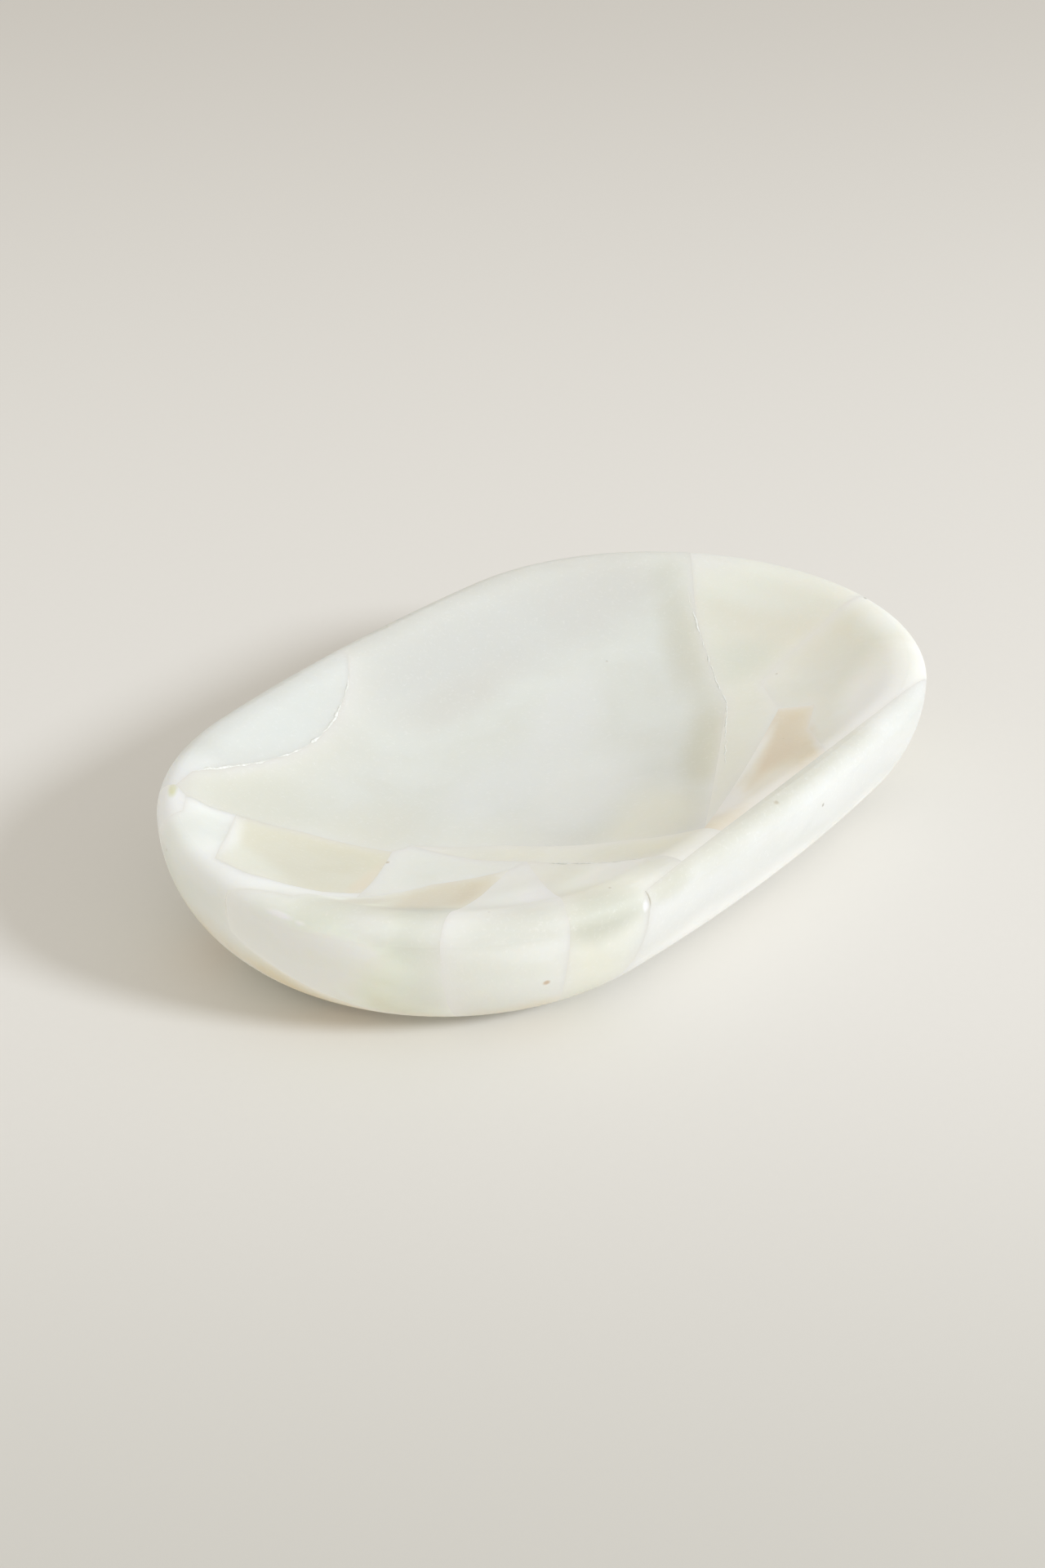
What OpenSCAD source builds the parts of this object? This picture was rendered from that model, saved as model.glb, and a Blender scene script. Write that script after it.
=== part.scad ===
// Oval soap dish made of offcuts of onyx marble, glued edge to edge and then ground and
// polished as one block. Millimetres, +Z up. The dish stands on z = 0, its length runs
// along X, and the origin is the middle of the surface it stands on.

/* [Outline] */
// Length over the two round ends
dish_length = 150; // [130:1:180]
// Radius of the round ends, half the width of the dish where they start
end_radius = 45; // [40:0.5:50]
// How far each long side swells out past the round ends
side_bulge = 1.5; // [1:0.1:5]

/* [Wall and bowl] */
// Height of the rim above the table
rim_height = 23.5; // [21:0.5:27]
// How far the edge of the flat underside lies inside the outline
base_inset = 12; // [10:0.5:16]
// Rounding of the rim's outer side
crest_radius = 3; // [2:0.25:4]
// Rounding of the rim's inner side
lip_radius = 8.5; // [5:0.5:10]
// Depth of the bowl below the rim
bowl_depth = 10.5; // [7:0.5:14]

/* [Joints] */
// How far the joint of the long wall stone leans inwards from upright, in degrees
wall_lean = 26; // [15:1:32]
// Slope of the joint under the near left stone, in degrees
under_slope = 28; // [15:1:40]

/* [Feet] */
// Diameter of each clear stick-on foot
foot_diameter = 10; // [7:0.5:12]
// Height of a foot
foot_height = 1.5; // [1.3:0.1:3]
// Rounding of a foot's lower edge
foot_edge = 1.1; // [0.4:0.1:1.2]
// How far the middle of a foot at the back lies inside the edge of the flat underside
back_foot_inset = 4; // [3:0.5:10]
// The same for a foot at the front
front_foot_inset = 9; // [6:0.5:12]
// Direction of a foot from the middle of its round end, in degrees from the dish's length
foot_angle = 31; // [20:1:60]

/* [Hidden] */

// Sides of a circle in the wall's section, and of a full turn of the outline
$fn = 180;

// The outline is an oval of four arcs, each tangent to the next
half_length = dish_length / 2;
half_width = end_radius + side_bulge;
end_x = half_length - end_radius;
side_radius = (end_x ^ 2 + half_width ^ 2 - end_radius ^ 2) / (2 * side_bulge);
side_y = side_radius - half_width;
middle_gap = side_radius - end_radius;
// Turn of a side in degrees, more than its arc needs
side_turn = 4 * atan2(end_x, side_y);

// The wall's section: belly, crest, lip and bowl are arcs, each tangent to the next
waist_z = rim_height - crest_radius;
belly_height = waist_z - foot_height;
belly_radius = (base_inset ^ 2 + belly_height ^ 2) / (2 * base_inset);
belly_foot = [end_radius - belly_radius, foot_height];
rim_x = end_radius - crest_radius;
lip_z = rim_height - lip_radius;
lip_to_bowl = (rim_x ^ 2 + bowl_depth ^ 2) / (2 * bowl_depth);
bowl_radius = lip_to_bowl - lip_radius;
floor_z = rim_height - bowl_depth;
bowl_z = floor_z + bowl_radius;
// A point past the lip on the line from its middle to the bowl's middle
lip_end = [rim_x, lip_z] + 2 * lip_radius * [-rim_x, bowl_z - lip_z] / lip_to_bowl;

// Past the stone on every side, for the blocks that cut it
overrun = dish_length;
// A point well outside, on the line along which a side passes into an end
ray_end = [end_x, 0] + overrun * [end_x, side_y] / middle_gap;
// How far a side runs into the end beside it, so that the two join as one block
run_in = 0.001;

// Corners of the joints in plan, as shares of the half length and the half width.
// The ones past 1 only close an outline beyond the dish.
slab_far_share = [1.2, 0.79];
slab_bend_share = [0.745, 0.215];
slab_kink_share = [0.48, -0.205];
slab_foot_share = [-0.24, -0.86];
strip_mid_share = [-0.26, -0.6];
strip_high_share = [-0.355, -0.19];
cut_top_share = [-0.467, 0.065];
cut_high_share = [-0.44, -0.17];
cut_mid_share = [-0.403, -0.335];
cut_low_share = [-0.387, -0.55];
notch_in_share = [0.59, -0.243];
notch_bend_share = [0.72, -0.243];
notch_far_share = [1.2, -0.455];
shard_top_share = [0.48, -0.43];
shard_heel_share = [0.5, -0.56];
shard_waist_share = [0.36, -0.67];
shard_toe_share = [0.16, -0.935];
amber_tip_share = [-0.52, 0.085];
amber_back_share = [-0.613, 0.345];
amber_left_share = [-0.707, 0.505];
slab_left_share = [-0.747, 0.56];
slab_tip_share = [-0.767, 0.635];
tip_top_share = [-0.747, 0.71];
tip_low_share = [-0.82, 0.57];
tail_share = [-0.927, 0.27];
tail_bend_share = [-0.933, 0.13];
tail_low_share = [-0.907, 0.02];
tail_thin_share = [-0.853, -0.065];
tail_end_share = [-0.767, -0.112];
crest_end_share = [-0.807, -0.15];
crest_mid_share = [-0.947, -0.085];
crest_top_share = [-0.987, 0.13];
brown_mid_share = [-0.6, -0.188];
apex_share = [-0.453, -0.323];
shield_high_share = [-0.547, -0.366];
shield_mid_share = [-0.693, -0.45];
shield_low_share = [-0.867, -0.57];
shield_in_share = [-0.453, -0.43];
shield_right_share = [-0.56, -0.62];
shield_foot_share = [-0.68, -0.817];
back_1_share = [-0.68, 0.737];
back_2_share = [-0.57, 0.709];
back_3_share = [-0.5, 0.69];
back_4_share = [-0.432, 0.674];
back_5_share = [-0.366, 0.669];
back_6_share = [-0.304, 0.68];
back_7_share = [-0.234, 0.714];
back_8_share = [-0.17, 0.762];
back_9_share = [-0.104, 0.824];
back_10_share = [-0.048, 0.904];
far_back_share = [0.02, 1.3];
far_back_right_share = [1.2, 1.3];
far_back_left_share = [-0.88, 1.3];
far_tip_share = [-1.1, 0.7];
far_left_share = [-1.2, 0.26];
far_shield_share = [-1.15, -0.75];
far_corner_share = [-0.8, -1.15];
far_cut_share = [-0.387, -1.3];
far_foot_share = [-0.24, -1.3];
far_toe_share = [0.13, -1.3];
far_right_share = [1.2, -1.3];

// The curved joint round the white crescent, from the back of the dish to the small chip
crescent_shares = [far_back_share, back_10_share, back_9_share, back_8_share, back_7_share,
    back_6_share, back_5_share, back_4_share, back_3_share, back_2_share, back_1_share,
    tip_top_share];
// The outline of the near left stone
front_left_shares = [crest_end_share, brown_mid_share, apex_share, shield_high_share,
    shield_mid_share, shield_low_share, far_shield_share, far_left_share,
    crest_top_share, crest_mid_share];

// Both ends of the long wall stone's joint, at the height of the rim
wall_left_share = [-0.515, -0.938];
wall_right_share = [0.667, -0.882];
// Where the joint under the near left stone comes out of the wall
under_y_share = -0.13;
under_z_share = 0.38;

function at(share) = [share[0] * half_length, share[1] * half_width];

// The wall's cross-section at a round end: x is the distance from the end's middle.
module wall_section() {
    // Belly, from the flat underside up to the widest place
    intersection() {
        translate([end_radius - belly_radius, waist_z])
            circle(r = belly_radius);
        polygon([belly_foot, [end_radius + belly_radius, foot_height],
            [end_radius + belly_radius, waist_z], [rim_x, waist_z], [rim_x, lip_z]]);
    }
    // Crest, the outer quarter of the rim
    translate([rim_x, waist_z])
        intersection() {
            circle(r = crest_radius);
            square(2 * crest_radius);
        }
    // Lip, the inner side of the rim
    intersection() {
        translate([rim_x, lip_z])
            circle(r = lip_radius);
        polygon([[rim_x, lip_z], [rim_x, lip_z + 2 * lip_radius], lip_end]);
    }
    // Stone under the bowl
    difference() {
        polygon([[0, foot_height], belly_foot, [rim_x, lip_z], lip_end,
            [0, lip_end[1]]]);
        translate([0, bowl_z])
            circle(r = bowl_radius);
    }
}

// A round end, between the two upright planes through its middle and the sides' middles
module round_end(side) {
    mirror([1 - side, 0, 0])
        intersection() {
            translate([end_x, 0, 0])
                rotate_extrude()
                    wall_section();
            linear_extrude(height = 2 * rim_height)
                polygon([[end_x, 0], ray_end, [overrun, ray_end[1]],
                    [overrun, -ray_end[1]], [ray_end[0], -ray_end[1]]]);
        }
}

// A long side with half of the floor, turned about a middle on the far side of the dish
module long_side(side) {
    mirror([0, 1 - side, 0])
        intersection() {
            translate([0, -side_y, 0])
                rotate_extrude(angle = side_turn, start = 90 - side_turn / 2) {
                    translate([middle_gap, 0])
                        wall_section();
                    translate([0, foot_height])
                        square([middle_gap, floor_z - foot_height]);
                }
            linear_extrude(height = 2 * rim_height)
                polygon([[-end_x - run_in, 0], [-ray_end[0] - run_in, ray_end[1]],
                    [ray_end[0] + run_in, ray_end[1]], [end_x + run_in, 0]]);
        }
}

// The whole ground and polished block, before the joints divide it
module dish_body() {
    round_end(1);
    round_end(0);
    long_side(1);
    long_side(0);
}

// What lies outside the leaning joint of the long wall stone
module wall_side() {
    left = at(wall_left_share);
    run = at(wall_right_share) - left;
    translate([left[0], left[1], rim_height])
        rotate([wall_lean, 0, atan2(run[1], run[0])])
            translate([0, -overrun, -overrun])
                cube([overrun, overrun, 2 * overrun]);
}

// What lies under the sloping joint of the near left stone
module under_side() {
    translate([0, under_y_share * half_width, under_z_share * rim_height])
        rotate([under_slope, 0, 0])
            translate([-overrun, -overrun, -overrun])
                cube([2 * overrun, 2 * overrun, overrun]);
}

// The share of the block inside an outline of upright saw cuts
module sawn(corner_shares) {
    intersection() {
        dish_body();
        linear_extrude(height = 2 * rim_height)
            polygon([for (corner = corner_shares) at(corner)]);
    }
}

// The same for the stones that end at the long wall stone
module sawn_to_wall(corner_shares) {
    difference() {
        sawn(corner_shares);
        wall_side();
    }
}

// The floor of the bowl and most of the back wall
module floor_slab() {
    color([0.86, 0.86, 0.83])
        sawn_to_wall(concat([slab_far_share, far_back_right_share], crescent_shares,
            [slab_tip_share, slab_left_share, amber_left_share, amber_back_share,
            amber_tip_share, cut_top_share, strip_high_share, strip_mid_share,
            slab_foot_share, slab_kink_share, slab_bend_share]));
}

// The darker strip along the lower edge of the floor
module floor_strip() {
    color([0.83, 0.80, 0.72])
        sawn_to_wall([cut_top_share, strip_high_share, strip_mid_share, slab_foot_share,
            far_foot_share, far_cut_share, cut_low_share, cut_mid_share, cut_high_share]);
}

// The pale green triangle at the far right
module back_right_stone() {
    color([0.86, 0.86, 0.80])
        sawn_to_wall([slab_far_share, slab_bend_share, slab_kink_share, slab_foot_share,
            shard_top_share, notch_in_share, notch_bend_share, notch_far_share]);
}

// The tan stone round the right end
module right_end_stone() {
    color([0.84, 0.83, 0.78])
        sawn_to_wall([notch_far_share, notch_bend_share, notch_in_share, shard_top_share,
            shard_heel_share, shard_waist_share, shard_toe_share, far_toe_share,
            far_right_share]);
}

// The brown shard in the near right slope of the bowl
module brown_shard() {
    color([0.83, 0.78, 0.68])
        sawn_to_wall([shard_top_share, slab_foot_share, far_foot_share, far_toe_share,
            shard_toe_share, shard_waist_share, shard_heel_share]);
}

// The long white stone that forms the near right wall
module near_wall_stone() {
    color([0.95, 0.95, 0.93])
        intersection() {
            dish_body();
            wall_side();
        }
}

// The pale green stone right of the shield
module front_right_stone() {
    color([0.86, 0.86, 0.80])
        sawn_to_wall([cut_mid_share, cut_low_share, far_cut_share, far_corner_share,
            shield_foot_share, shield_right_share, shield_in_share]);
}

// The shield-shaped white stone in the near wall
module shield_stone() {
    color([0.92, 0.92, 0.89])
        sawn([apex_share, cut_mid_share, shield_in_share, shield_right_share,
            shield_foot_share, far_corner_share, far_shield_share, shield_low_share,
            shield_mid_share, shield_high_share]);
}

// The pale stone of the near left wall, brown at its inner point
module front_left_stone() {
    color([0.88, 0.88, 0.85])
        difference() {
            sawn(front_left_shares);
            under_side();
        }
}

// The white wedge that points at the amber stone
module white_wedge() {
    color([0.89, 0.89, 0.86])
        sawn([amber_tip_share, tail_end_share, crest_end_share, brown_mid_share,
            apex_share, cut_mid_share, cut_high_share, cut_top_share]);
}

// The amber stone in the left slope of the bowl
module amber_stone() {
    color([0.84, 0.81, 0.73])
        sawn([amber_tip_share, amber_back_share, amber_left_share, tail_share,
            tail_bend_share, tail_low_share, tail_thin_share, tail_end_share]);
}

// The white stone of the left wall. Its tail runs along the rim, and its foot passes
// under the near left stone.
module left_wall_stone() {
    color([0.93, 0.93, 0.91]) {
        sawn([slab_left_share, amber_left_share, tail_share, tail_bend_share,
            tail_low_share, tail_thin_share, tail_end_share, crest_end_share,
            crest_mid_share, crest_top_share, far_left_share, far_tip_share,
            tip_low_share, slab_tip_share]);
        intersection() {
            sawn(front_left_shares);
            under_side();
        }
    }
}

// The small green chip in the rim at the left
module left_tip() {
    color([0.85, 0.84, 0.72])
        sawn([tip_top_share, slab_tip_share, tip_low_share, far_tip_share,
            far_back_left_share]);
}

// The white crescent in the back wall
module back_left_stone() {
    color([0.90, 0.91, 0.88])
        sawn(concat(crescent_shares, [far_back_left_share]));
}

// One clear foot under the flat underside. along and across are 1 or -1.
module foot(along, across) {
    foot_radius = foot_diameter / 2;
    foot_inset = across > 0 ? back_foot_inset : front_foot_inset;
    place = end_radius - base_inset - foot_inset;
    color([0.93, 0.93, 0.93])
        translate([along * (end_x + place * cos(foot_angle)),
            across * place * sin(foot_angle), 0])
            rotate_extrude() {
                square([foot_radius - foot_edge, foot_height]);
                translate([0, foot_edge])
                    square([foot_radius, foot_height - foot_edge]);
                translate([foot_radius - foot_edge, foot_edge])
                    rotate(-90)
                        intersection() {
                            circle(r = foot_edge);
                            square(2 * foot_edge);
                        }
            }
}

floor_slab();
floor_strip();
back_right_stone();
right_end_stone();
brown_shard();
near_wall_stone();
front_right_stone();
shield_stone();
front_left_stone();
white_wedge();
amber_stone();
left_wall_stone();
left_tip();
back_left_stone();
foot(-1, -1);  // foot_near_left
foot(1, -1);  // foot_near_right
foot(-1, 1);  // foot_far_left
foot(1, 1);  // foot_far_right
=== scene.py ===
# %% [markdown]
# # A soap dish sawn from glued onyx
#
# The dish is a shallow oval bowl. Its maker glued fourteen pieces of pale onyx into one block,
# ground the bowl and the round rim out of it, and stuck four clear rubber dots underneath.
#
# The stones come from the CAD part as fourteen fitting solids, whose shape is already right, so
# Blender's work is what makes them stone: the milky colour that changes inside each piece, the
# veins, the pits, the satin polish, the thin lines of glue between them, and the light.

# %% Load the packed part
import math
import bpy
import numpy as np
from mathutils import Matrix, Vector


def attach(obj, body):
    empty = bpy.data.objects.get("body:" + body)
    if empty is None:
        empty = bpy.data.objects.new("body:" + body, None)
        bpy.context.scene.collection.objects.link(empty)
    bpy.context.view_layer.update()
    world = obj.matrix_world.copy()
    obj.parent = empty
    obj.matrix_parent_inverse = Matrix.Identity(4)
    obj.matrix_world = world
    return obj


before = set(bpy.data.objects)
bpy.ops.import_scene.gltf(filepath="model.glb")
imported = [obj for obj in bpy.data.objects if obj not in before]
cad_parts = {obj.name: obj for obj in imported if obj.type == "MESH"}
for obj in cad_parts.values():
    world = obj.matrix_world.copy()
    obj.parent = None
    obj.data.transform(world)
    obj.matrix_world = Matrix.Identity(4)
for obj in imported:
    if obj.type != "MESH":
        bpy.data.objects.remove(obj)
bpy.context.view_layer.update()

# %% [markdown]
# ## The camera
#
# The photograph looks down on the dish from its left end. A camera is set by where it stands,
# the point that it looks at and how wide it sees. All three were worked out beforehand from the
# outline of the rim, so the picture and the photograph can be laid over each other.

# %% Place the camera
EYE = Vector((-0.324825, -0.233604, 0.222404))
LOOKED_AT = Vector((-0.0063745, 0.0028667, 0.0120))
HEIGHT_OF_VIEW = math.radians(32.0)
NEAREST_SEEN = 0.01


def placed(name, data):
    """A new object that shows some data, added to the scene."""
    made = bpy.data.objects.new(name, data)
    bpy.context.scene.collection.objects.link(made)
    return made


def facing(place, target):
    """Turns an object at place so that its -Z looks at target and its Y stays up."""
    turn = (target - place).to_track_quat("-Z", "Y")
    return Matrix.LocRotScale(place, turn, None)


camera_data = bpy.data.cameras.new("photo_camera")
camera_data.sensor_fit = "VERTICAL"
camera_data.angle = HEIGHT_OF_VIEW
camera_data.clip_start = NEAREST_SEEN
camera = placed("photo_camera", camera_data)
camera.matrix_world = facing(EYE, LOOKED_AT)
bpy.context.scene.camera = camera
bpy.context.scene.view_settings.view_transform = "Standard"
print("lens", round(camera_data.lens, 2), "mm, distance", round((LOOKED_AT - EYE).length, 3), "m")

# %% [markdown]
# ## The light
#
# One wide soft lamp stands to the right of the dish and a little towards the camera, low enough
# that the rim throws a soft shadow to the left. The rest is even light, slightly warmer, as a pale
# room gives. Part of it comes from all round. The other part falls from above and throws no
# shadow: it stands for the light that thin onyx lets through, which keeps the shadow beside the
# dish pale. All three together light the floor at strength one, so a colour comes out about as
# it is written.

# %% Light the scene
ROOM_SHARE = 0.61
FILL_SHARE = 0.11
LAMP_SHARE = 1.0 - ROOM_SHARE - FILL_SHARE
LAMP_TURN = math.radians(-82.0)
LAMP_RISE = math.radians(29.0)
LAMP_REACH = 2.2
LAMP_WIDTH = 0.49
ROOM_TINT = (1.0, 0.968, 0.92)
LAMP_TINT = (1.0, 1.07, 1.19)

room = bpy.data.worlds.new("pale_room")
room.use_nodes = True
room_light = room.node_tree.nodes["Background"]
room_light.inputs["Color"].default_value = (*ROOM_TINT, 1.0)
room_light.inputs["Strength"].default_value = ROOM_SHARE
bpy.context.scene.world = room

# A sun lights what faces it at strength energy / pi.
fill_data = bpy.data.lights.new("even_fill", "SUN")
fill_data.energy = FILL_SHARE * math.pi
fill_data.color = ROOM_TINT
fill_data.use_shadow = False
placed("even_fill", fill_data).visible_glossy = False

lamp_data = bpy.data.lights.new("soft_lamp", "AREA")
lamp_data.shape = "DISK"
lamp_data.size = LAMP_WIDTH
lamp_data.color = LAMP_TINT
# A lamp lights what faces it at strength energy / (pi * distance) ** 2, and the level floor gets
# the sine of the lamp's rise of that.
lamp_data.energy = LAMP_SHARE * (math.pi * LAMP_REACH) ** 2 / math.sin(LAMP_RISE)
lamp = placed("soft_lamp", lamp_data)
towards_lamp = Vector((
    math.cos(LAMP_TURN) * math.cos(LAMP_RISE),
    math.sin(LAMP_TURN) * math.cos(LAMP_RISE),
    math.sin(LAMP_RISE)))
lamp.matrix_world = facing(towards_lamp * LAMP_REACH, Vector((0, 0, 0)))
print("lamp at", [round(v, 3) for v in lamp.matrix_world.translation], "m,",
      round(lamp_data.energy, 1), "W")

# %% [markdown]
# ## Writing shader maths as Python
#
# A material is a net of nodes. Wiring a net by hand is slow to read, so one small class wraps an
# output socket: an expression such as `1 - mask * 0.5` adds its Math nodes by itself. A second
# class is the material. Its `node` method adds any other kind of node, and a few short methods
# call it for the nodes that every finish here uses.

# %% Wrap a socket


class Flow:
    """The output socket of a node. Arithmetic on it adds Math nodes to the same net."""

    def __init__(self, bench, socket):
        self.bench = bench
        self.socket = socket

    def __add__(self, other):
        return self.bench.maths("ADD", self, other)

    def __radd__(self, other):
        return self.bench.maths("ADD", other, self)

    def __sub__(self, other):
        return self.bench.maths("SUBTRACT", self, other)

    def __rsub__(self, other):
        return self.bench.maths("SUBTRACT", other, self)

    def __mul__(self, other):
        return self.bench.maths("MULTIPLY", self, other)

    def __rmul__(self, other):
        return self.bench.maths("MULTIPLY", other, self)


print("a Flow knows +, - and *, from either side")

# %% Wrap a material


class Finish:
    """A material, with one method that adds every kind of node."""

    def __init__(self, name):
        self.material = bpy.data.materials.new(name)
        self.material.use_nodes = True
        self.tree = self.material.node_tree
        self.tree.nodes.clear()

    def node(self, kind, settings=None, inputs=None, output=0):
        """Adds a node, makes its settings, then fills its sockets with numbers or links."""
        made = self.tree.nodes.new(kind)
        for setting, value in (settings or {}).items():
            setattr(made, setting, value)
        pairs = inputs.items() if isinstance(inputs, dict) else enumerate(inputs or ())
        for name, value in pairs:
            socket = made.inputs[name]
            if isinstance(value, Flow):
                self.tree.links.new(value.socket, socket)
            else:
                socket.default_value = value
        return Flow(self, made.outputs[output]) if len(made.outputs) else None

    def maths(self, operation, *values):
        """Maths on numbers."""
        return self.node("ShaderNodeMath", {"operation": operation}, values)

    def vectors(self, operation, *values):
        """Maths on vectors. A length or a dot product comes out as a number."""
        output = "Value" if operation in ("LENGTH", "DOT_PRODUCT") else "Vector"
        return self.node("ShaderNodeVectorMath", {"operation": operation}, values, output)

    def place(self):
        """The point on the surface, in the object's own metres."""
        return self.node("ShaderNodeTexCoord", output="Object")

    def ramp(self, value, low, high):
        """A smooth step from 0 at low to 1 at high; low may be the larger number."""
        return self.node(
            "ShaderNodeMapRange", {"interpolation_type": "SMOOTHSTEP"},
            {"Value": value, "From Min": low, "From Max": high})

    def mix(self, share, first, second):
        """A colour between two colours. Sockets 6 and 7 are its colours, output 2 the mix."""
        return self.node(
            "ShaderNodeMix", {"data_type": "RGBA"}, {"Factor": share, 6: first, 7: second}, 2)

    def noise(self, place, scale, detail=3.0, rough=0.5, twist=0.0):
        """Cloudy noise from 0 to 1; scale is in clouds for each metre."""
        return self.node(
            "ShaderNodeTexNoise", None,
            {"Vector": place, "Scale": scale, "Detail": detail, "Roughness": rough,
             "Distortion": twist})

    def shows(self, shader):
        """Ends the net: the surface shows this shader."""
        self.node("ShaderNodeOutputMaterial", None, {"Surface": shader})


print("a Finish can", [name for name in vars(Finish) if not name.startswith("_")])

# %% [markdown]
# Colours are easiest to choose from 0 to 255, as a screen has them, but Blender reckons with
# amounts of light. The sRGB formula turns the one into the other.

# %% Colours as on a screen


def tone(red, green, blue):
    """A colour read off a screen, from 0 to 255, as the linear colour that Blender takes.

    Up to 0.04045 the light is the share divided by 12.92, and above it is
    ((share + 0.055) / 1.055) to the power 2.4.
    """
    share = np.array([red, green, blue]) / 255.0
    linear = np.where(share <= 0.04045, share / 12.92, ((share + 0.055) / 1.055) ** 2.4)
    return (*[round(float(v), 4) for v in linear], 1.0)


print("a middle grey on the screen is", tone(128, 128, 128)[:3], "in the material")

# %% [markdown]
# ## The floor
#
# The dish stands on a plain pale sheet that runs on past the picture. It could be one big square,
# but a disc whose rings get wider outwards has its finest faces where the shadow falls.

# %% Lay the floor
FLOOR_REACH = 4.0


def floor_sheet(reach, rings=24, steps=96):
    """A flat disc: rings of radius reach * (i / rings) ** 2, so it is finest near the dish."""
    radius = reach * (np.arange(1, rings + 1) / rings) ** 2
    turn = np.linspace(0, 2 * np.pi, steps, endpoint=False)
    flat = np.stack([np.outer(radius, np.cos(turn)), np.outer(radius, np.sin(turn)),
                     np.zeros((rings, steps))], axis=-1).reshape(-1, 3)
    points = np.vstack([[[0.0, 0.0, 0.0]], flat])
    here = np.arange(steps)
    after = (here + 1) % steps
    first = np.stack([np.zeros(steps, int), 1 + here, 1 + after], axis=1)
    ring = np.arange(rings - 1)[:, None] * steps + 1
    quads = np.stack([ring + here, ring + steps + here, ring + steps + after, ring + after],
                     axis=-1).reshape(-1, 4)
    return points, first.tolist() + quads.tolist()


points, faces = floor_sheet(FLOOR_REACH)
floor_mesh = bpy.data.meshes.new("pale_floor")
floor_mesh.from_pydata(points.tolist(), [], faces)
floor = placed("pale_floor", floor_mesh)
print("floor", len(points), "points")

# %% [markdown]
# The sheet's colour is lightest in a wide band around the dish and a little darker near the
# bottom and top of the picture, fading slowly with the distance along the line of sight: this is
# painted shade, where the lamp's light falls off away from the dish. That distance is the dot
# product of the point with a level unit vector that points ahead.

# %% Colour the floor
FAR_SHADE_FADE = (0.02, 0.75)
NEAR_SHADE_FADE = (-0.03, -0.22)
PAPER_PALE = tone(230, 227, 220)
PAPER_FAR_PAINTED_SHADE = tone(215, 211, 203)
PAPER_NEAR_PAINTED_SHADE = tone(203, 200, 191)
PAPER_GRAIN = tone(190, 186, 176)
GRAINS_IN_A_METRE = 700.0
GRAIN_SHARE = 0.04
PAPER_ROUGHNESS = 0.9
PAPER_SHINE = 0.15

paper = Finish("pale_paper")
place = paper.place()
sight = Vector((LOOKED_AT.x - EYE.x, LOOKED_AT.y - EYE.y, 0)).normalized()
ahead = paper.vectors("DOT_PRODUCT", place, tuple(sight))
# Painted shade: the sheet darkens along the line of sight, farther off and nearer, where the
# lamp's light falls off.
sheet = paper.mix(paper.ramp(ahead, *FAR_SHADE_FADE), PAPER_PALE, PAPER_FAR_PAINTED_SHADE)
sheet = paper.mix(paper.ramp(ahead, *NEAR_SHADE_FADE), sheet, PAPER_NEAR_PAINTED_SHADE)
grain = paper.noise(place, GRAINS_IN_A_METRE, detail=2.0)
sheet = paper.mix(grain * GRAIN_SHARE, sheet, PAPER_GRAIN)
paper.shows(paper.node("ShaderNodeBsdfPrincipled", None, {
    "Base Color": sheet, "Roughness": PAPER_ROUGHNESS, "Specular IOR Level": PAPER_SHINE}))
floor.data.materials.append(paper.material)
print("floor is", paper.material.name)

# %% [markdown]
# ## Onyx: clouds and bands
#
# Onyx is banded calcite. Its colour is never flat: slow clouds and waving bands run through each
# piece. Every stone gets the same build-up with its own colours, so small functions make each
# layer and one function puts them together. The clouds are noise cut between two values. The
# bands are a sine wave along one direction, bent by the same noise, so they follow the clouds.

# %% Clouds and bands
CLOUD_EDGES = (0.40, 0.62)
CLOUD_SHARE = 0.7
CLOUD_DETAIL = 4.0
CLOUD_ROUGH = 0.55
CLOUD_TWIST = 0.6
BAND_EDGES = (0.2, 1.0)
BAND_BEND = 9.0


def clouds(bench, place, size):
    """Noise whose clouds are size metres wide."""
    return bench.noise(place, 1.0 / size, CLOUD_DETAIL, CLOUD_ROUGH, CLOUD_TWIST)


def bands(bench, place, wander, lie, gap):
    """Bands gap metres apart across lie: the smooth upper part of sin(2 pi d / gap + bend)."""
    across = bench.vectors("DOT_PRODUCT", place, tuple(Vector(lie).normalized()))
    waves = bench.maths("SINE", across * (2 * math.pi / gap) + wander * BAND_BEND)
    return bench.ramp(waves, *BAND_EDGES)


print("a cloud starts where its noise is", CLOUD_EDGES[0], "and is full at", CLOUD_EDGES[1])

# %% [markdown]
# ## Onyx: soft spots
#
# A polished stone has places that differ from the rest: a paler cloud, a brown point, a chip.
# Each is a soft-edged ellipsoid at its own place. A Mapping node turns the point into the
# ellipsoid's own coordinates, where the distance from the centre is 1 at its surface.
# Some noise on that distance makes the edge wander like a cloud's.

# %% Soft spots
MM = 0.001
NOISE_MIDDLE = 0.5
SPOT_WANDER = 0.8
SPOT_EDGES = (1.2, 0.3)


def soft_spots(bench, place, wander, colour, spots):
    """Lays patches of colour over a colour.

    spots is a list of (centre, reach, turn, colour, share): the patch's centre and its reach
    along its own axes in millimetres, turned about the vertical by turn degrees.
    """
    for centre, reach, turn, spot, share in spots:
        own = bench.node("ShaderNodeMapping", {"vector_type": "TEXTURE"}, {
            "Vector": place, "Location": tuple(v * MM for v in centre),
            "Rotation": (0.0, 0.0, math.radians(turn)),
            "Scale": tuple(v * MM for v in reach)})
        far = bench.vectors("LENGTH", own) + (wander - NOISE_MIDDLE) * SPOT_WANDER
        colour = bench.mix(bench.ramp(far, *SPOT_EDGES) * share, colour, spot)
    return colour


print("a spot is full inside", SPOT_EDGES[1], "and gone outside", SPOT_EDGES[0], "of its reach")

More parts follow.
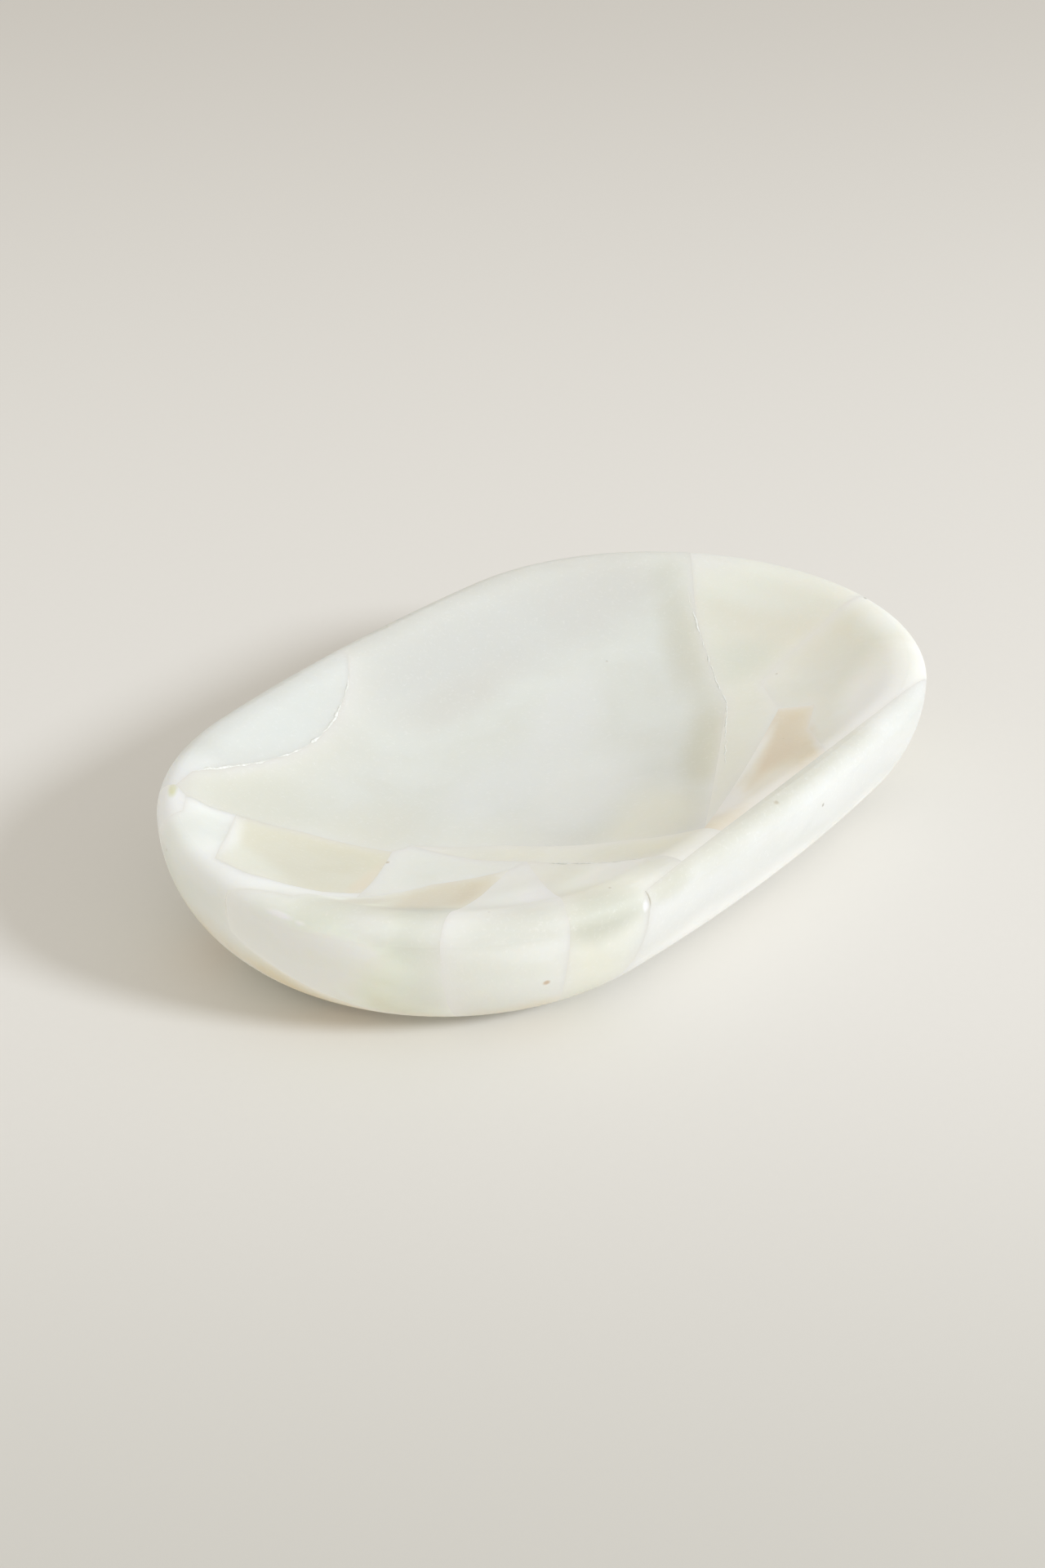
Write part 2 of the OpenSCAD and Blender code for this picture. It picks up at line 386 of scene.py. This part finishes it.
# %% [markdown]
# ## Onyx: sugar and pits
#
# Close up, the calcite looks like wet sugar, and a few pits are left where a grain broke out. The
# sugar is fine noise. The pits are the middles of cells, and only a few cells have one: each cell
# has a colour of its own, and its red has to be nearly full.

# %% Sugar and pits
SUGAR_IN_A_METRE = 1500.0
SUGAR_ROUGH = 0.7
SUGAR_EDGES = (0.52, 0.80)
SUGAR_SHARE = 0.22
SUGAR_WHITE = tone(248, 248, 245)
PITS_IN_A_METRE = 420.0
PIT_EDGES = (0.14, 0.05)
PIT_RARITY = (0.965, 0.975)
PIT_SHARE = 0.35
PIT_BROWN = tone(160, 148, 124)


def sugar_grains(bench, place):
    """Fine noise for the grains."""
    return bench.noise(place, SUGAR_IN_A_METRE, rough=SUGAR_ROUGH)


def rare_pits(bench, place):
    """1 in a pit and 0 outside: near to a cell's middle, times the cell being a rare one."""
    cells = {"Vector": place, "Scale": PITS_IN_A_METRE, "Randomness": 1.0}
    distance = bench.node("ShaderNodeTexVoronoi", {"feature": "F1"}, cells)
    own = bench.node("ShaderNodeTexVoronoi", {"feature": "F1"}, cells, "Color")
    red = bench.node("ShaderNodeSeparateColor", None, {"Color": own}, "Red")
    return bench.ramp(distance, *PIT_EDGES) * bench.ramp(red, *PIT_RARITY)


print("pits are", round(2 * PIT_EDGES[1] / PITS_IN_A_METRE / MM, 2), "mm wide")

# %% [markdown]
# ## Onyx: the satin polish
#
# The polish is satin and a little uneven. A broad ripple, fine scratches from the last rubbing,
# the sugar and the pits all make the surface rise and fall by less than a tenth of a millimetre,
# which is too fine for the mesh, so a Bump node tilts the normal instead. The same layers change
# how rough the surface is.

# %% Satin polish
RIPPLES_IN_A_METRE = 260.0
SCRATCHES_IN_A_METRE = 420.0
SCRATCH_STRETCH = (1.0, 9.0, 1.0)
SCRATCH_TURN = 0.5
RIPPLE_RISE, SUGAR_RISE, SCRATCH_RISE, PIT_FALL = 0.6, 0.08, 0.10, 0.5
BUMP_STRENGTH = 0.2
BUMP_HEIGHT = 0.0006
POLISH = 0.42
RIPPLE_DULLS, SUGAR_DULLS, PIT_DULLS = 0.12, 0.08, 0.2


def satin(bench, place, sugar, pits, turn):
    """The tilted normal and the roughness of the polish, each a weighted sum of the layers."""
    ripple = bench.noise(place, RIPPLES_IN_A_METRE)
    rubbed = bench.node("ShaderNodeMapping", None, {
        "Vector": place, "Rotation": (0.0, 0.0, SCRATCH_TURN + turn), "Scale": SCRATCH_STRETCH})
    scratch = bench.noise(rubbed, SCRATCHES_IN_A_METRE, detail=2.0)
    relief = (ripple * RIPPLE_RISE + sugar * SUGAR_RISE + scratch * SCRATCH_RISE
              - pits * PIT_FALL)
    normal = bench.node("ShaderNodeBump", None, {
        "Strength": BUMP_STRENGTH, "Distance": BUMP_HEIGHT, "Height": relief})
    return normal, POLISH + ripple * RIPPLE_DULLS + sugar * SUGAR_DULLS + pits * PIT_DULLS


print("polish is", POLISH, "to", round(POLISH + RIPPLE_DULLS + SUGAR_DULLS + PIT_DULLS, 2))

# %% [markdown]
# ## Onyx: the light inside
#
# Onyx is milky. Light goes a few millimetres in and comes out again softened, so thin rims glow
# and nothing in it has a hard edge. That is Subsurface on the shader.
#
# The stones are separate solids that touch, and the clear glue lets light pass from one into the
# next. Without help the hidden faces between them would be black, and a dark line would show
# along each joint. So a ray that is inside the block, where it meets a stone from behind or has
# only just left its neighbour, finds the even soft glow that fills lit onyx. No other ray sees
# that glow.

# %% Light inside the block
GLOW_INSIDE = (0.72, 0.69, 0.63, 1.0)
JOINT_GAP = 0.0001


def lit_inside(bench, shader, glow_share):
    """The stone's shader, with the glow of the block for light that is already inside it."""
    behind = bench.node("ShaderNodeNewGeometry", output="Backfacing")
    travelled = bench.node("ShaderNodeLightPath", output="Ray Length")
    spread_ray = bench.node("ShaderNodeLightPath", output="Is Diffuse Ray")
    inside = bench.maths("MAXIMUM", behind, bench.maths("LESS_THAN", travelled, JOINT_GAP))
    glow = bench.node("ShaderNodeEmission", None, {"Color": GLOW_INSIDE, "Strength": glow_share})
    # The glow is no lamp, so no light is looked for on it.
    bench.material.cycles.emission_sampling = "NONE"
    return bench.node("ShaderNodeMixShader", None, {0: inside * spread_ray, 1: shader, 2: glow})


print("glow inside the block", GLOW_INSIDE[:3])

# %% [markdown]
# ## Onyx: one function for all the stones
#
# The layers go on in order: clouds, bands, spots, sugar and pits for the colour, then the polish
# and the light inside. A stone's number shifts its noise, so stones with different numbers
# have different patterns.

# %% One stone
MILK_DEPTH = 0.009
MILK_SHARE = 0.8
MILK_TINT = (1.0, 0.9, 0.75)
STONE_IOR = 1.5
STONE_SHINE = 0.3
SHIFT_STEP = 0.13
SHIFT_SHARES = (1.0, 0.37, 0.71)


def onyx(name, number, milk, cloud, vein, spots=(), glow_share=1.0, lie=(0.2, 0.1, 1.0),
         band_gap=0.011, band_share=0.25, cloud_size=0.022):
    """The finish of one stone.

    milk is the main colour, cloud the colour of its slow clouds and vein that of its thin bands.
    lie is the direction across the bands and band_gap how far apart they are. glow_share is how
    brightly the stone glows inside: the rim glows more than the bowl.
    """
    bench = Finish(name)
    place = bench.place()
    shift = SHIFT_STEP * number
    moved = bench.vectors("ADD", place, tuple(shift * share for share in SHIFT_SHARES))
    wander = clouds(bench, moved, cloud_size)
    colour = bench.mix(bench.ramp(wander, *CLOUD_EDGES) * CLOUD_SHARE, milk, cloud)
    colour = bench.mix(bands(bench, moved, wander, lie, band_gap) * band_share, colour, vein)
    colour = soft_spots(bench, place, wander, colour, spots)
    sugar = sugar_grains(bench, moved)
    colour = bench.mix(bench.ramp(sugar, *SUGAR_EDGES) * SUGAR_SHARE, colour, SUGAR_WHITE)
    pits = rare_pits(bench, moved)
    colour = bench.mix(pits * PIT_SHARE, colour, PIT_BROWN)
    normal, polish = satin(bench, moved, sugar, pits, shift)
    shader = bench.node("ShaderNodeBsdfPrincipled", {"subsurface_method": "RANDOM_WALK"}, {
        "Base Color": colour, "Roughness": polish, "IOR": STONE_IOR, "Normal": normal,
        "Subsurface Weight": MILK_SHARE, "Subsurface Scale": MILK_DEPTH,
        "Subsurface Radius": MILK_TINT, "Specular IOR Level": STONE_SHINE})
    bench.shows(lit_inside(bench, shader, glow_share))
    return bench.material


def give(node, material):
    """Puts a material on a CAD node, in the slot that it came with, and says so."""
    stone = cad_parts[node]
    for held in stone.material_slots:
        held.material = material
    print(node, "is", material.name)


def colour_stone(node, number, **colours):
    """Gives a node its own onyx."""
    give(node, onyx(node + "_onyx", number, **colours))


print("each stone number moves the noise by", SHIFT_STEP, "m along x")

# %% [markdown]
# ## The floor of the bowl
#
# Each stone's colours and spots were written after measuring at many places how far a
# render was from the photograph. The slab makes most of the bowl and the back wall. It is grey
# and milky, paler in the middle, with a green tinge towards its edges. The strip along its lower
# edge is a little warmer. A spot whose reach is ANY goes right through the stone in that
# direction.

# %% Colour the floor of the bowl
ANY = 200.0

colour_stone(
    "floor_slab", 0, lie=(0.35, 0.8, 0.3), band_gap=0.023, band_share=0.18, cloud_size=0.028,
    milk=tone(217, 218, 209), cloud=tone(221, 223, 216), vein=tone(225, 227, 221), spots=(
        ((18, 33, 20), (48, 14, ANY), -6, tone(209, 209, 203), 0.75),
        ((6, 25, 18), (20, 6, ANY), 0, tone(210, 208, 199), 0.6),
        ((50, 26, 20), (14, 12, ANY), 0, tone(213, 212, 205), 0.6),
        ((14, 9, 14), (24, 7, ANY), 24, tone(223, 224, 219), 0.7),
        ((-5, -8, 14), (22, 10, ANY), 20, tone(229, 230, 225), 0.6),
        ((-12, -26, 17), (19, 8.5, ANY), 25, tone(232, 231, 216), 0.8),
        ((48, 7, 18), (22, 5.5, ANY), 43, tone(206, 205, 190), 0.65),
        ((20, -16, 17), (28, 5.5, ANY), 31, tone(206, 205, 188), 0.8),
        ((-46, 24, 19), (15, 12, ANY), 0, tone(215, 215, 202), 0.8),
        ((-36, 11, 16), (11, 8, ANY), 0, tone(219, 218, 205), 0.6),
        ((-27, -4, 16), (10, 11, ANY), 0, tone(227, 228, 219), 0.5),
        ((-12, 4, 15), (15, 8, ANY), 10, tone(226, 228, 225), 0.5)))
colour_stone(
    "floor_strip", 1,
    milk=tone(228, 228, 216), cloud=tone(232, 232, 221), vein=tone(222, 220, 203), spots=(
        ((-19, -34, 21), (9, 9, ANY), 0, tone(237, 236, 220), 0.8),
        ((-31, -4, 16), (5, 8, ANY), 0, tone(220, 221, 210), 0.8)))

# %% [markdown]
# ## The right end
#
# Two stones at the right look as if they were cut from one piece: the same cloud runs on from
# one into the other. So they share their number and their spots. The brown shard beside them
# is the warmest stone of the dish, and pale along its edges. A rim stone glows a little more
# inside than the bowl does, because the lamp reaches it from the side as well.

# %% Colour the right end
RIM_GLOW = 1.07
RIGHT_SPOTS = (
    ((58, -8, 20), (12, 15, ANY), 0, tone(232, 230, 216), 0.7),
    ((47, -3, 18), (8, 12, ANY), 40, tone(222, 224, 212), 0.7),
    ((30, -22, 18), (16, 7, ANY), 30, tone(229, 230, 220), 0.7),
    ((40, -35, 21), (18, 7, ANY), 18, tone(248, 249, 244), 0.85),
    ((62, -24, 23), (6, 4, ANY), 55, tone(236, 238, 232), 0.6),
    ((66, 2, 23), (6, 22, ANY), 0, tone(234, 235, 226), 0.7),
    ((68, 16, 22), (5, 7, ANY), 0, tone(226, 226, 220), 0.6),
    ((70.6, -16.4, 23.4), (1.6, 0.5, 1.2), 25, tone(104, 100, 88), 0.8),
    ((61, -36, 22), (14, 2.5, ANY), 42, tone(222, 223, 213), 0.6),
    ((26, -31, 19), (8, 2.2, ANY), 38, tone(224, 210, 188), 0.6),
)

colour_stone(
    "back_right_stone", 2, spots=RIGHT_SPOTS,
    milk=tone(226, 227, 215), cloud=tone(230, 230, 219), vein=tone(223, 221, 206))
colour_stone(
    "right_end_stone", 2, spots=RIGHT_SPOTS, glow_share=RIM_GLOW,
    milk=tone(232, 232, 221), cloud=tone(236, 236, 226), vein=tone(227, 226, 212))
colour_stone(
    "brown_shard", 4,
    milk=tone(228, 218, 198), cloud=tone(224, 212, 190), vein=tone(234, 226, 210), spots=(
        ((-1, -40, 21), (15, 4.5, ANY), 20, tone(243, 240, 229), 0.7),
        ((28, -26.5, 19), (9, 6, ANY), 30, tone(225, 215, 195), 0.7),
        ((15, -32, 19), (9, 4, ANY), 28, tone(226, 214, 192), 0.45),
        ((2, -31.6, 19), (28, 1.7, ANY), 17, tone(246, 247, 240), 0.9),
        ((4, -32.4, 19), (22, 2.5, ANY), 20, tone(243, 242, 232), 0.6),
        ((19, -39, 20), (9, 2.2, ANY), 32, tone(243, 243, 234), 0.85),
        ((-6, -36.5, 20), (11, 3.5, ANY), 25, tone(247, 245, 238), 0.85)))

# %% [markdown]
# ## The near wall
#
# Three stones make the near wall: the long white one, a pale green one and the shield. They stand
# nearest to the lamp, so their crest is given a darker spot of painted shade and their flank a
# paler one of painted light, and the wall then looks as even as it does in the photograph. A few
# tiny spots are chips and pits along the joints, and a pure white speck just below the crack is a
# painted glint.

# %% Colour the near wall
colour_stone(
    "near_wall_stone", 5, glow_share=RIM_GLOW,
    milk=tone(219, 220, 216), cloud=tone(223, 224, 220), vein=tone(214, 215, 208), spots=(
        # Painted light: the lower outer flank is made paler.
        ((0, -46, 5), (75, 14, 8), 0, tone(248, 247, 243), 0.85),
        # Painted shade: the next three spots darken the crest, which the lamp lights most.
        ((-7, -43, 23.5), (44, 5, 4.2), 1, tone(200, 200, 188), 0.85),
        ((46, -42, 22.5), (22, 5, 4.5), 10, tone(206, 208, 202), 0.8),
        ((-34, -43.5, 23), (7, 4, 4), 0, tone(192, 192, 178), 0.7),
        ((6.6, -46.3, 18.3), (0.4, 0.6, 0.4), 0, tone(150, 144, 132), 0.8),
        ((-38.6, -43.6, 21.6), (0.35, 1.3, 1.8), 0, tone(150, 145, 130), 0.75),
        ((-4.9, -44.6, 23.2), (0.7, 0.5, 0.5), 0, tone(176, 168, 146), 0.7)))
colour_stone(
    "front_right_stone", 6, glow_share=RIM_GLOW,
    milk=tone(230, 230, 218), cloud=tone(234, 234, 223), vein=tone(224, 222, 207), spots=(
        # Painted light: the inner slope below the crest is made paler.
        ((-33, -34, 19), (13, 9, 8), 0, tone(250, 254, 243), 0.9),
        # Painted shade: the next two spots darken the crest, which the lamp lights most.
        ((-22, -43, 23), (16, 6, 5), 0, tone(206, 206, 194), 0.7),
        ((-45, -43, 22), (12, 5.5, 5), -30, tone(198, 199, 186), 0.85),
        ((-33, -44, 15), (14, 7, 8), 0, tone(217, 219, 212), 0.8),
        # Painted glint: a pure white speck just below the crack.
        ((-39.4, -44.0, 20.8), (0.7, 0.8, 1.1), 0, tone(255, 255, 254), 0.9)))
colour_stone(
    "shield_stone", 7, glow_share=RIM_GLOW,
    milk=tone(231, 232, 225), cloud=tone(234, 235, 229), vein=tone(226, 226, 215), spots=(
        # Painted light: the inner slope below the crest is made paler.
        ((-41, -32, 18.5), (14, 10, 8), -35, tone(251, 255, 251), 0.95),
        # Painted shade: the crest is darkened where the lamp lights it most.
        ((-56, -37, 23.5), (20, 6, 4), -35, tone(205, 205, 194), 0.8),
        ((-50, -38, 2), (26, 12, 6), -35, tone(238, 227, 204), 0.85),
        ((-53.3, -36.3, 11.9), (0.65, 0.65, 0.65), 0, tone(190, 156, 116), 0.65)))

# %% [markdown]
# ## The near left wall and the left slope
#
# The near left stone is pale with a brown inner point, and its outside turns warm towards the
# floor. The white wedge and the amber stone lie behind it, in the slope of the bowl. The green
# in the near left stone's white balances the faint pink that it picks up in the shadow.

# %% Colour the left slope
colour_stone(
    "front_left_stone", 8, glow_share=RIM_GLOW,
    milk=tone(248, 255, 242), cloud=tone(250, 255, 244), vein=tone(242, 248, 233), spots=(
        # Painted shade: the crest near the left end is darkened.
        ((-69, -12, 23.5), (6, 15, 4.5), 25, tone(208, 208, 195), 0.8),
        ((-50, -14, 19), (22, 8.5, ANY), 13, tone(217, 210, 190), 0.9),
        ((-62, -9.6, 23), (8, 3, ANY), 5, tone(216, 213, 198), 0.85),
        ((-46, -18, 19), (17, 3.4, ANY), 24, tone(212, 203, 182), 0.6),
        # Painted shade: the near crest is darkened.
        ((-62.5, -23.5, 21.2), (9.5, 9.5, 5.4), 0, tone(190, 190, 178), 0.8),
        ((-70.4, -17.5, 22.4), (5.5, 5, 3), 30, tone(219, 218, 214), 0.55),
        ((-74.4, 6.2, 20), (0.7, 0.28, 2.6), 0, tone(150, 142, 124), 0.6),
        ((-66, -27, 12), (9, 9, 17), 0, tone(228, 229, 221), 0.8),
        ((-60, -22, 2), (24, 24, 4), 0, tone(242, 235, 222), 0.7),
        # Painted glints: the next two pure white specks on the crest.
        ((-74.4, -4.3, 22), (0.8, 2.6, 0.6), 0, tone(255, 255, 254), 0.9),
        ((-73.6, -7.5, 21.6), (0.8, 1.4, 0.5), 0, tone(255, 255, 254), 0.8)))
colour_stone(
    "white_wedge", 9,
    milk=tone(224, 226, 218), cloud=tone(227, 229, 222), vein=tone(220, 220, 209), spots=(
        ((-60, -7, 21), (9, 5, ANY), 0, tone(223, 224, 214), 0.8),
        ((-42.6, 2.0, 14), (0.6, 0.4, 1.5), 0, tone(170, 146, 108), 0.7)))
colour_stone(
    "amber_stone", 10,
    milk=tone(218, 216, 198), cloud=tone(221, 220, 204), vein=tone(214, 210, 188), spots=(
        ((-66, 10, 21), (6, 14, ANY), -20, tone(224, 225, 212), 0.85),
        ((-61, 19, 21), (11, 3, ANY), 33, tone(240, 242, 234), 0.85),
        ((-53, -2, 19), (11, 1.8, ANY), 22, tone(226, 212, 188), 0.5)))

# %% [markdown]
# ## The left rim and the back
#
# The white stone of the left wall runs under the near left stone, where it turns brown. A small
# chip with a green corner sits between it and the white crescent of the back wall.

# %% Colour the left rim and the crescent
colour_stone(
    "left_wall_stone", 11, glow_share=RIM_GLOW,
    milk=tone(242, 246, 238), cloud=tone(244, 248, 240), vein=tone(235, 239, 228), spots=(
        ((-60, 20, 22), (9, 8, ANY), -50, tone(222, 225, 218), 0.8),
        ((-73, -6, 21), (5, 12, 5), 0, tone(212, 213, 200), 0.7),
        ((-64, 8, 3), (18, 30, 13), 0, tone(232, 212, 180), 0.9)))
colour_stone(
    "left_tip", 12, glow_share=RIM_GLOW,
    milk=tone(248, 255, 246), cloud=tone(246, 252, 242), vein=tone(249, 254, 246), spots=(
        ((-57.3, 32.5, 23.4), (3.2, 0.9, 1.6), 40, tone(212, 214, 172), 0.85),))
colour_stone(
    "back_left_stone", 13, glow_share=RIM_GLOW,
    milk=tone(217, 219, 213), cloud=tone(220, 223, 218), vein=tone(213, 215, 208), spots=(
        ((-56, 38, 22), (12, 9, ANY), 0, tone(238, 242, 239), 0.8),
        ((-24, 36, 21), (12, 8, ANY), 0, tone(219, 222, 217), 0.6)))

# %% [markdown]
# ## The upper face as a formula
#
# Along three joints the cut edges are chipped, and the glue in the chips shows as a pale line.
# The lines have to lie in the surface of the dish, so its height is needed at any point in plan.
# The outline is an oval of four arcs. Inside it the surface is made of three more, one after the
# other: a small arc over the crest, a wider one down the lip and a very wide one across the bowl.

# %% Height of the dish
END_CENTRE = 0.030
END_ARC = 0.045
SIDE_CENTRE = 0.29925
SIDE_ARC = 0.34575
CREST_ARC, CREST_HEIGHT = 0.003, 0.0205
LIP_ARC, LIP_HEIGHT, LIP_ENDS = 0.0085, 0.015, 0.007
BOWL_ARC, BOWL_HEIGHT = 0.08075, 0.09375


def dish_top(x, y):
    """Height of the dish's upper face over points in plan, in metres.

    The distance in from the outline is the radius of the outline's arc less the distance to
    that arc's centre. The height is the height of the crest's, the lip's or the bowl's centre
    plus, or for the bowl less, sqrt(arc ** 2 - distance from that centre in plan ** 2).
    """
    wide, deep = np.abs(x), np.abs(y)
    at_end = wide * SIDE_CENTRE > END_CENTRE * (deep + SIDE_CENTRE)
    inward = np.where(at_end, END_ARC - np.hypot(wide - END_CENTRE, deep),
                      SIDE_ARC - np.hypot(wide, deep + SIDE_CENTRE))
    from_crest = np.maximum(CREST_ARC ** 2 - (CREST_ARC - inward) ** 2, 0)
    from_lip = np.maximum(LIP_ARC ** 2 - (inward - CREST_ARC) ** 2, 0)
    from_bowl = BOWL_ARC ** 2 - (END_ARC - np.minimum(inward, END_ARC)) ** 2
    return np.where(inward < CREST_ARC, CREST_HEIGHT + np.sqrt(from_crest),
                    np.where(inward < LIP_ENDS, LIP_HEIGHT + np.sqrt(from_lip),
                             BOWL_HEIGHT - np.sqrt(from_bowl)))


print("the rim is", round(float(dish_top(0.072, 0.0)), 4), "m high, the floor of the bowl",
      round(float(dish_top(0.0, 0.0)), 4))

# %% [markdown]
# ## A pale line as a surface
#
# Each line is a fine bead, half sunk in the stone, that swells and thins like real glue. It could
# be a Blender curve with a bevel, but a curve's section is round and would stand proud. A profile
# carried along the path can be a flat ellipse that always lies in the surface.

# %% The path and the swelling of a line
BEAD_STEP = 0.35 * MM
PATH_WANDER = 0.18 * MM
SWELL_MIDDLE, SWELL_SPREAD, SWELL_LIMITS = 0.55, 1.4, (0.12, 1.6)
TAPER_LENGTH, TAPER_POWER = 4 * MM, 0.7
THINNEST = 0.01 * MM
SOFT = np.hanning(9) / np.hanning(9).sum()


def soft_dice(dice, spread, count):
    """A row of random numbers, each one a weighted mean of its neighbours."""
    return np.convolve(dice.normal(0, spread, count), SOFT, "same")


def wandering_path(corners, half_width, dice):
    """Points in plan at even steps along the corners, and the half-width at each.

    The points wander a little to the side. The half-width is half_width times a swelling, times
    (distance from the nearer end / taper length) ** power within the taper.
    """
    corners = np.array(corners) * MM
    reached = np.concatenate([[0.0], np.cumsum(np.hypot(*np.diff(corners, axis=0).T))])
    count = int(reached[-1] / BEAD_STEP)
    along = np.linspace(0, reached[-1], count)
    y = np.interp(along, reached, corners[:, 1]) + soft_dice(dice, PATH_WANDER, count)
    x = np.interp(along, reached, corners[:, 0]) + soft_dice(dice, PATH_WANDER, count)
    swell = np.clip(SWELL_MIDDLE + soft_dice(dice, SWELL_SPREAD, count), *SWELL_LIMITS)
    to_end = np.minimum(along, reached[-1] - along)
    taper = np.minimum(1.0, to_end / TAPER_LENGTH) ** TAPER_POWER
    return x, y, half_width * swell * taper + THINNEST


print("a line has a ring every", round(BEAD_STEP / MM, 2), "mm")

# %% [markdown]
# The ellipse needs two directions at every point: one along the surface, across the path, and
# one straight out of the surface. The slope of the dish gives the second, and a cross product
# with the path's own direction gives the first.

# %% A flat tube along a path
BEAD_SIDES = 8
BEAD_FLATNESS = 3.0
NUDGE = 0.1 * MM


def unit(vectors):
    """Vectors divided by their lengths."""
    return vectors / np.linalg.norm(vectors, axis=1)[:, None]


def directions(x, y, centre):
    """The directions across the path and out of the surface, at each point of the path."""
    tangent = unit(np.gradient(centre, axis=0))
    normal = np.stack([
        (dish_top(x - NUDGE, y) - dish_top(x + NUDGE, y)) / (2 * NUDGE),
        (dish_top(x, y - NUDGE) - dish_top(x, y + NUDGE)) / (2 * NUDGE), np.ones(len(x))], 1)
    normal = unit(normal - (normal * tangent).sum(1)[:, None] * tangent)
    return np.cross(tangent, normal), normal


def flat_tube(centre, side, normal, half):
    """Rings centre + half * (side * cos(t) + normal * sin(t) / flatness), closed at both ends."""
    count, around = len(centre), BEAD_SIDES
    turn = np.linspace(0, 2 * np.pi, around, endpoint=False)
    rings = (centre[:, None]
             + side[:, None] * (half[:, None] * np.cos(turn))[..., None]
             + normal[:, None] * (half[:, None] * np.sin(turn) / BEAD_FLATNESS)[..., None])
    points = np.concatenate([rings.reshape(-1, 3), centre[:1], centre[-1:]])
    ring, spoke = np.meshgrid(np.arange(count - 1), np.arange(around), indexing="ij")
    after = (spoke + 1) % around
    quads = np.stack([ring * around + spoke, ring * around + after,
                      (ring + 1) * around + after, (ring + 1) * around + spoke], -1)
    here = np.arange(around)
    after = (here + 1) % around
    last = (count - 1) * around
    first_cap = np.stack([here * 0 + count * around, after, here], 1)
    last_cap = np.stack([here * 0 + count * around + 1, last + here, last + after], 1)
    return points, quads.reshape(-1, 4).tolist() + first_cap.tolist() + last_cap.tolist()


print("a line is", BEAD_FLATNESS, "times as wide as it is high")

# %% [markdown]
# ## The three pale lines
#
# The glue is chalky and paler than the stones. The crescent's line is the boldest. The other two
# run along the left end of the floor strip and along the right edge of the slab.

# %% Lay the pale lines
GLUE_CRUMBS_IN_A_METRE = 1600.0
GLUE_CRUMB_ROUGH = 0.6
GLUE_EDGES = (0.4, 0.65)
GLUE_GREY = tone(222, 223, 214)
GLUE_WHITE = tone(240, 241, 236)
GLUE_ROUGHNESS, GLUE_CRUMB_DULLS = 0.45, 0.2

chalk = Finish("pale_joint_glue")
crumbs = chalk.noise(chalk.place(), GLUE_CRUMBS_IN_A_METRE, rough=GLUE_CRUMB_ROUGH)
chalk.shows(chalk.node("ShaderNodeBsdfPrincipled", None, {
    "Base Color": chalk.mix(chalk.ramp(crumbs, *GLUE_EDGES), GLUE_GREY, GLUE_WHITE),
    "Roughness": GLUE_ROUGHNESS + crumbs * GLUE_CRUMB_DULLS,
    "Specular IOR Level": STONE_SHINE}))


def bead(name, corners, half_width, seed):
    """A fine half-sunk line over the dish, along corners in plan in millimetres."""
    dice = np.random.default_rng(seed)
    x, y, half = wandering_path(corners, half_width * MM, dice)
    centre = np.stack([x, y, dish_top(x, y)], 1)
    points, faces = flat_tube(centre, *directions(x, y, centre), half)
    mesh = bpy.data.meshes.new(name)
    mesh.from_pydata(points.tolist(), [], faces)
    mesh.shade_smooth()
    mesh.materials.append(chalk.material)
    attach(placed(name, mesh), "root")
    print(name, "has", len(x), "rings and", len(faces), "faces")


bead("crescent_line", ((-51, 34.3), (-42.8, 33), (-37.5, 32.1), (-32.4, 31.3), (-27.5, 31.1),
                       (-22.8, 31.6), (-17.6, 33.2), (-12.8, 35.4), (-7.8, 38.3)), 0.22, 3)
bead("strip_line", ((-30.2, -17), (-29.3, -24), (-29.1, -30), (-28.9, -38)), 0.16, 5)
bead("slab_line", ((60, 14.9), (48, 2.4), (36, -9.5), (24, -17.1), (12, -24.6)), 0.12, 8)

# %% [markdown]
# ## The rubber dots
#
# The four dots are clear soft rubber. They are almost hidden, but a glint of one shows under the
# left end. Clear rubber lets light through with a slight blur and has a bright spot on its edge.

# %% Clear the feet
DUST_IN_A_METRE = 900.0
DUST_EDGES = (0.45, 0.75)
DUST_SHARE = 0.3
RUBBER_ROUGHNESS, DUST_DULLS = 0.18, 0.15
RUBBER_IOR = 1.42
RUBBER_CLEARNESS = 0.8
RUBBER_PALE = tone(240, 240, 236)
DUST_GREY = tone(222, 219, 208)

rubber = Finish("clear_rubber_dot")
dust = rubber.noise(rubber.place(), DUST_IN_A_METRE)
rubber.shows(rubber.node("ShaderNodeBsdfPrincipled", None, {
    "Base Color": rubber.mix(
        rubber.ramp(dust, *DUST_EDGES) * DUST_SHARE, RUBBER_PALE, DUST_GREY),
    "Roughness": RUBBER_ROUGHNESS + dust * DUST_DULLS, "IOR": RUBBER_IOR,
    "Transmission Weight": RUBBER_CLEARNESS}))
for corner in ("near_left", "near_right", "far_left", "far_right"):
    give("foot_" + corner, rubber.material)

# %% [markdown]
